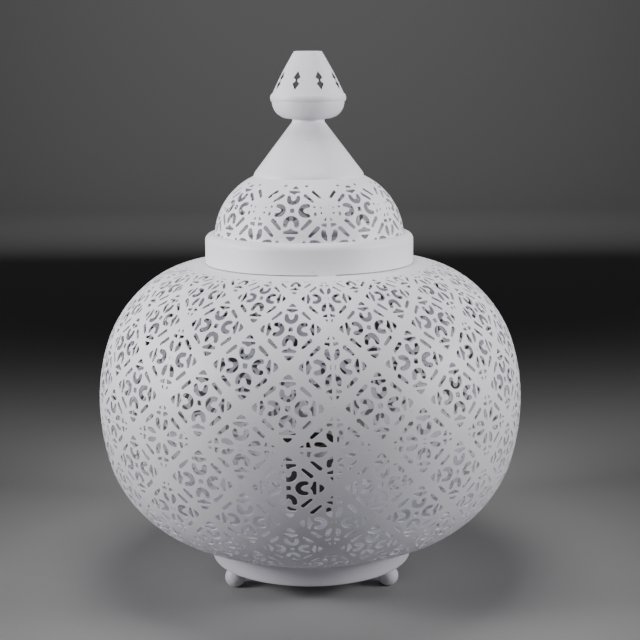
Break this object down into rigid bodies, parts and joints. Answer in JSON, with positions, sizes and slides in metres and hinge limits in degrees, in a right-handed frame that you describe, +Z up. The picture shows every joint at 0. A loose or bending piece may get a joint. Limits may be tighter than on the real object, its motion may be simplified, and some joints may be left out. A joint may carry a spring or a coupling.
{
  "type": "tealight lantern",
  "caption": "Pierced sheet-metal globe lantern with a lift-off domed lid, ball feet and a central cup on a post for one tealight.",
  "frame": {"origin": "on the floor, on the lantern's axis, under the middle of the foot dish", "axes": "+Z up along the axis of the globe, -Y towards the front, +X to the right seen from the front"},
  "size_m": [0.3, 0.3, 0.3757],
  "materials": {
    "white_paint": "matte white enamel on thin sheet steel",
    "black_paint": "satin black paint",
    "copper_disc": "thin copper-coloured brass disc",
    "zinc_steel": "zinc plated steel"
  },
  "bodies": {
    "root": {"globe_upper_panel_1": "white_paint", "globe_upper_panel_2": "white_paint", "globe_upper_panel_3": "white_paint", "globe_upper_panel_4": "white_paint", "globe_upper_panel_5": "white_paint", "globe_upper_panel_6": "white_paint", "globe_upper_panel_7": "white_paint", "globe_upper_panel_8": "white_paint", "globe_lower_panel_1": "white_paint", "globe_lower_panel_2": "white_paint", "globe_lower_panel_3": "white_paint", "globe_lower_panel_4": "white_paint", "globe_lower_panel_5": "white_paint", "globe_lower_panel_6": "white_paint", "globe_lower_panel_7": "white_paint", "globe_lower_panel_8": "white_paint", "equator_wire": "white_paint", "neck_ring": "white_paint", "lid_rest_pads": "white_paint", "base_dish": "white_paint", "ball_foot_1": "white_paint", "ball_foot_2": "white_paint", "ball_foot_3": "white_paint", "foot_screws": "zinc_steel", "base_plate": "white_paint", "spacer_tube": "zinc_steel", "tie_rod": "zinc_steel", "dish_washer": "zinc_steel", "dish_nut": "zinc_steel", "post_riser": "white_paint", "candle_post": "black_paint", "candle_cup": "black_paint", "cup_ring": "zinc_steel", "cup_disc": "copper_disc"},
    "lid": {"collar_band": "white_paint", "dome_panel_1": "white_paint", "dome_panel_2": "white_paint", "dome_panel_3": "white_paint", "dome_panel_4": "white_paint", "dome_panel_5": "white_paint", "dome_panel_6": "white_paint", "dome_panel_7": "white_paint", "dome_panel_8": "white_paint", "spire_cone": "white_paint", "finial_bowl": "white_paint", "finial_bead_ring": "white_paint", "finial_cone": "white_paint", "lid_rod": "zinc_steel", "finial_nut": "zinc_steel", "dome_washer": "zinc_steel", "dome_nut": "zinc_steel"}
  },
  "joints": [
    {"name": "lid_lift", "type": "slide", "parent": "root", "child": "lid", "axis": [0, 0, 1], "range_m": [0, 0.16]}
  ]
}
